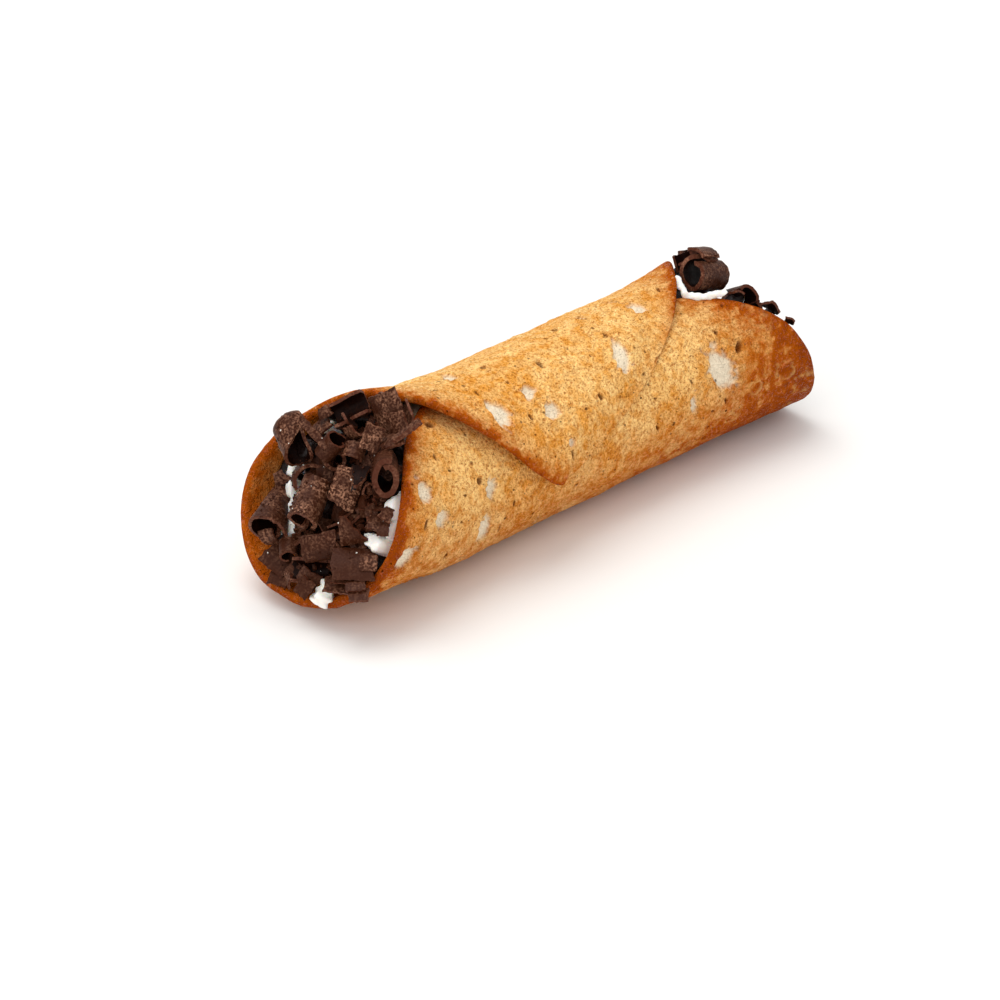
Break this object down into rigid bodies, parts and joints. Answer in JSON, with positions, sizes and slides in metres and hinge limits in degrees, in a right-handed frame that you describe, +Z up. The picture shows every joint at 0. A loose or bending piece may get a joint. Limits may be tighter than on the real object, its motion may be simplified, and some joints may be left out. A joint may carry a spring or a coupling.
{
  "type": "cannoli",
  "caption": "Fried pastry tube with an overlapping pointed flap, filled with whipped cream and heaped with chocolate curls at both open ends.",
  "frame": {"origin": "on the surface that the pastry lies on, under the middle of the whole object's box", "axes": "+X along the tube towards the mouth with the narrower gap, +Z up, and the free corner of the pastry on the -Y side"},
  "size_m": [0.138, 0.0424, 0.0452],
  "materials": {
    "baked_pastry": "matte, blistered and freckled, golden tan and browner at the rims",
    "whipped_cream": "soft satin",
    "dark_chocolate": "dusty matt outside, smoother inside"
  },
  "bodies": {
    "root": {"cream_filling": "whipped_cream", "curl_left_arch": "dark_chocolate", "curl_left_barrel": "dark_chocolate", "curl_left_brow": "dark_chocolate", "curl_left_chip": "dark_chocolate", "curl_left_chunk": "dark_chocolate", "curl_left_cob": "dark_chocolate", "curl_left_cradle": "dark_chocolate", "curl_left_cup": "dark_chocolate", "curl_left_dice": "dark_chocolate", "curl_left_edge": "dark_chocolate", "curl_left_flag": "dark_chocolate", "curl_left_foot": "dark_chocolate", "curl_left_heel": "dark_chocolate", "curl_left_hood": "dark_chocolate", "curl_left_leaf": "dark_chocolate", "curl_left_nib": "dark_chocolate", "curl_left_quill": "dark_chocolate", "curl_left_ribbon": "dark_chocolate", "curl_left_ring": "dark_chocolate", "curl_left_shard": "dark_chocolate", "curl_left_slab": "dark_chocolate", "curl_left_spiral": "dark_chocolate", "curl_left_strip": "dark_chocolate", "curl_left_tall": "dark_chocolate", "curl_left_wedge": "dark_chocolate", "curl_right_barrel": "dark_chocolate", "curl_right_beak": "dark_chocolate", "curl_right_cap": "dark_chocolate", "curl_right_foot": "dark_chocolate", "curl_right_leaf": "dark_chocolate", "curl_right_rim": "dark_chocolate", "curl_right_ring": "dark_chocolate", "curl_right_slab": "dark_chocolate", "curl_right_spiral": "dark_chocolate", "curl_right_thimble": "dark_chocolate", "curl_right_trough": "dark_chocolate", "pastry_shell": "baked_pastry"}
  },
  "joints": []
}
